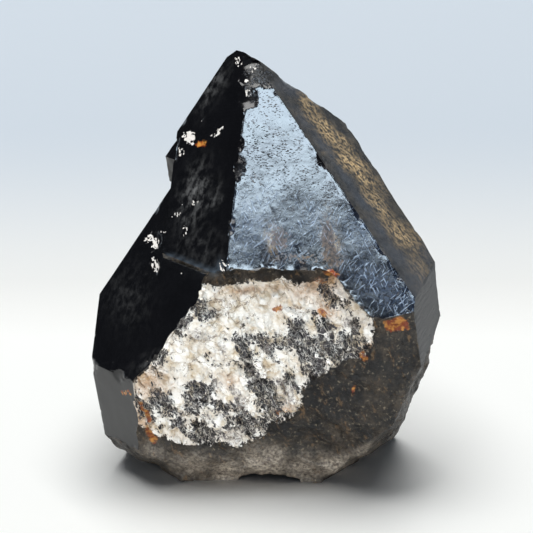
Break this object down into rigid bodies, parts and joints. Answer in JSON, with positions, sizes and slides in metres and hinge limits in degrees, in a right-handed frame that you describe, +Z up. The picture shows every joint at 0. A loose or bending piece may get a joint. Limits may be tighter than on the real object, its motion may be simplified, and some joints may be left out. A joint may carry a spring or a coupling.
{
  "type": "morion quartz crystal",
  "caption": "Black smoky quartz point standing on its broken root, with a stout six-sided pyramid and a rough cream and grey feldspar contact patch low in front.",
  "frame": {"origin": "middle of the bounding box of the footprint, on the ground the stone stands on", "axes": "+Z up along the height of the stone, its long axis leaning about 8 degrees to -X; -Y towards the viewer, where the contact patch is; +X to the viewer's right"},
  "size_m": [0.0494, 0.0392, 0.0599],
  "materials": {
    "smoky_quartz": "black, glossy on the crystal faces, rough and cream to grey on the contact patch and the breaks"
  },
  "bodies": {
    "root": {"morion_crystal": "smoky_quartz"}
  },
  "joints": []
}
